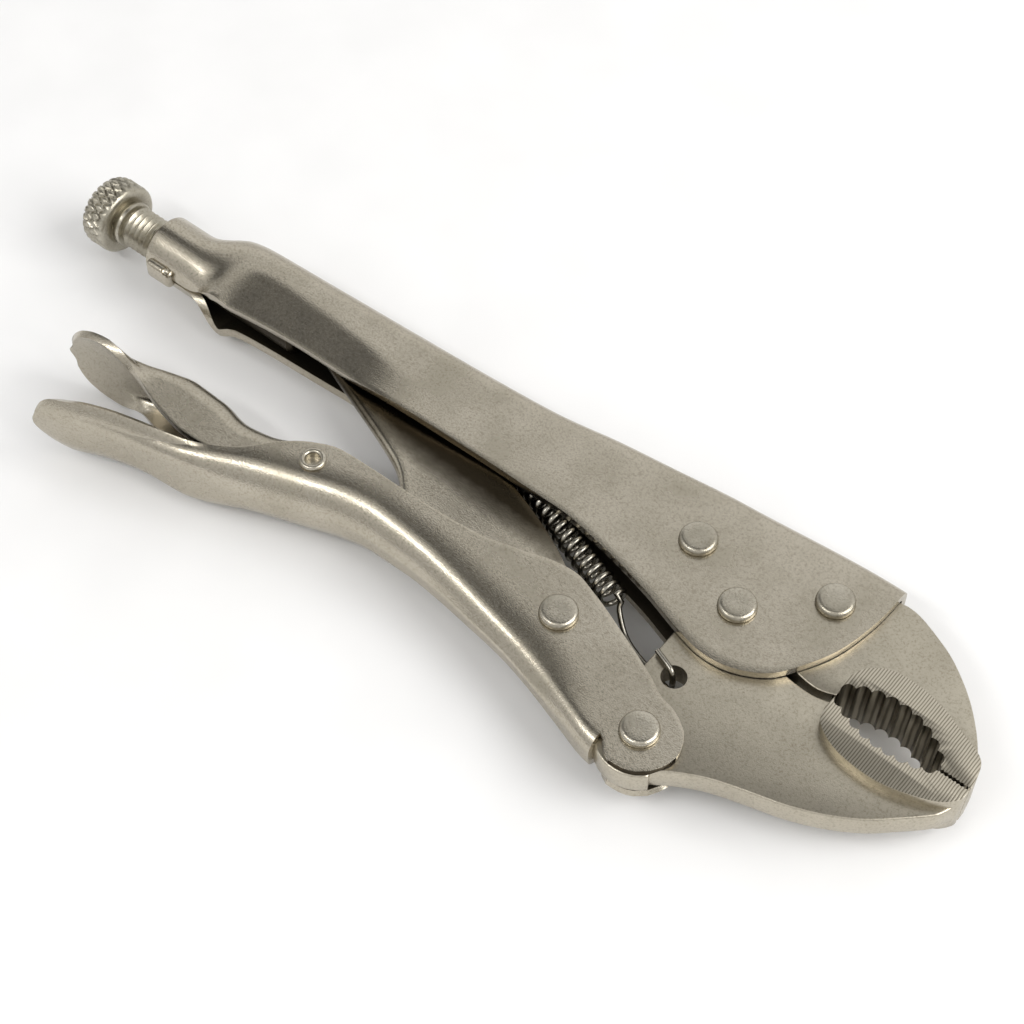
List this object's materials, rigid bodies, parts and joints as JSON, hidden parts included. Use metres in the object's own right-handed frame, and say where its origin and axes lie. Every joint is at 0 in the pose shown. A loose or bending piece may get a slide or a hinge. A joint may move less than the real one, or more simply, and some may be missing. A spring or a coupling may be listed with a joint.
{
  "type": "locking pliers",
  "caption": "Curved-jaw locking pliers: folded sheet body and handle, toggle link, adjusting screw with knurled knob, release lever and tension spring.",
  "frame": {"origin": "on the jaw pivot's axis, at the flat of that rivet's lower head; the tool lies on its side", "axes": "+X along the adjusting screw towards the jaws, +Y from the lower handle to the body, +Z along every pivot"},
  "size_m": [0.2541, 0.0837, 0.0224],
  "materials": {
    "nickel_plate": "satin nickel plate",
    "ground_steel": "satin plated forging with ground teeth",
    "spring_wire": "bright drawn wire"
  },
  "bodies": {
    "body": {"handle_body": "nickel_plate", "fixed_jaw": "ground_steel", "fixed_jaw_rear_rivet": "nickel_plate", "fixed_jaw_front_rivet": "nickel_plate", "jaw_pivot_rivet": "nickel_plate", "tension_spring": "spring_wire"},
    "jaw": {"moving_jaw": "ground_steel"},
    "handle": {"lower_handle": "nickel_plate", "handle_pivot_rivet": "nickel_plate", "link_pivot_rivet": "nickel_plate", "lever_eyelet": "nickel_plate"},
    "link": {"toggle_link": "nickel_plate"},
    "lever": {"release_lever": "nickel_plate"},
    "screw": {"adjusting_screw": "nickel_plate"}
  },
  "joints": [
    {"name": "jaw_pivot", "type": "hinge", "parent": "body", "child": "jaw", "pos_m": [0, 0, 0.0071], "axis": [0, 0, 1], "range_deg": [-15, 0], "deforming": ["tension_spring"]},
    {"name": "handle_pivot", "type": "hinge", "parent": "jaw", "child": "handle", "pos_m": [0.0021, -0.0371, 0.0071], "axis": [0, 0, 1], "range_deg": [0, 60.4]},
    {"name": "link_pivot", "type": "hinge", "parent": "handle", "child": "link", "pos_m": [-0.0283, -0.0252, 0.0071], "axis": [0, 0, 1], "range_deg": [-61.9, 0]},
    {"name": "release_lever_pivot", "type": "hinge", "parent": "handle", "child": "lever", "pos_m": [-0.09377, -0.0297, 0.0071], "axis": [0, 0, 1], "range_deg": [0, 5]},
    {"name": "screw_travel", "type": "slide", "parent": "body", "child": "screw", "axis": [-1, 0, 0], "range_m": [0, 0.02]}
  ],
  "couplings": [
    {"joint": "handle_pivot", "follows": "jaw_pivot", "ratio": -4.02},
    {"joint": "link_pivot", "follows": "jaw_pivot", "ratio": 4.1205}
  ]
}
